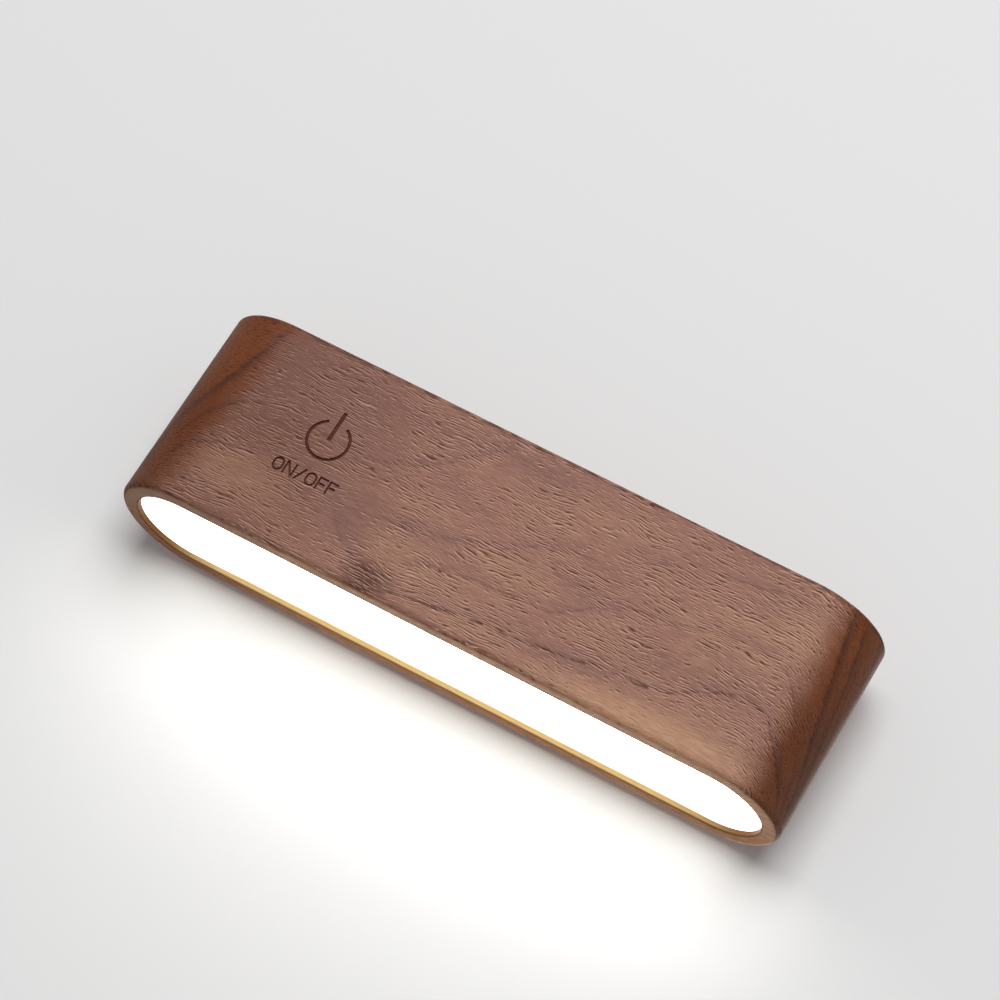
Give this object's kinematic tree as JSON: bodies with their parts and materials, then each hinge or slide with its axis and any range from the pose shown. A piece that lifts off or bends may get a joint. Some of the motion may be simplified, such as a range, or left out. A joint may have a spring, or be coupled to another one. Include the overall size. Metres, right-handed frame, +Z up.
{
  "type": "cordless wall light",
  "caption": "Walnut block wall light with half-round ends, a glowing lower face, an engraved touch mark and a magnetic turntable back that holds it on a wall disc.",
  "frame": {"origin": "on the wall, at the centre of the adhesive pad's back face, on the axis that the light turns about", "axes": "+X along the block, to the right as seen from the room; +Y into the wall; +Z up"},
  "size_m": [0.2, 0.0421, 0.06],
  "materials": {
    "walnut": "oiled walnut, satin",
    "opal": "opal acrylic, lit from behind",
    "white_plastic": "matt white moulding",
    "led_board_white": "white solder mask",
    "led_yellow": "phosphor",
    "screw_steel": "zinc plated",
    "cell_sleeve": "shrink sleeve",
    "nickel": "bare nickel",
    "black_plastic": "fine texture",
    "board_green": "green solder mask",
    "component_black": "moulded epoxy",
    "socket_steel": "bright pressed steel",
    "clear_plastic": "frosted clear",
    "copper": "copper foil",
    "lead_white": "white insulation",
    "lead_red": "red insulation",
    "holder_plastic": "fine texture",
    "ring_plastic": "satin",
    "washer_plastic": "waxy white",
    "cup_steel": "nickel plated",
    "magnet_nickel": "nickel plated",
    "soft_rubber": "matt",
    "disc_steel": "turned face",
    "foam_tape": "foam tape"
  },
  "bodies": {
    "wall_mount": {"wall_disc": "disc_steel", "adhesive_pad": "foam_tape"},
    "magnet_turntable": {"magnet_cup": "cup_steel", "magnet": "magnet_nickel", "face_pad": "soft_rubber"},
    "lamp": {"wood_shell": "walnut", "diffuser": "opal", "chassis": "white_plastic", "led_board": "led_board_white", "led_chips": "led_yellow", "led_board_screws": "screw_steel", "battery_cell": "cell_sleeve", "cell_tabs": "nickel", "battery_straps": "black_plastic", "driver_board": "board_green", "driver_components": "component_black", "driver_board_screws": "screw_steel", "usb_socket": "socket_steel", "port_bezel": "black_plastic", "charge_light_pipe": "clear_plastic", "touch_electrode": "copper", "touch_lead": "lead_white", "battery_leads": "lead_red", "led_leads": "lead_white", "magnet_holder": "holder_plastic", "retaining_ring": "ring_plastic", "glide_washer": "washer_plastic", "holder_screws": "screw_steel"}
  },
  "joints": [
    {"name": "pull_off", "type": "slide", "parent": "wall_mount", "child": "magnet_turntable", "axis": [0, -1, 0], "range_m": [0, 0.06]},
    {"name": "swivel", "type": "hinge", "parent": "magnet_turntable", "child": "lamp", "pos_m": [0, 0, 0], "axis": [0, -1, 0], "continuous": true}
  ]
}
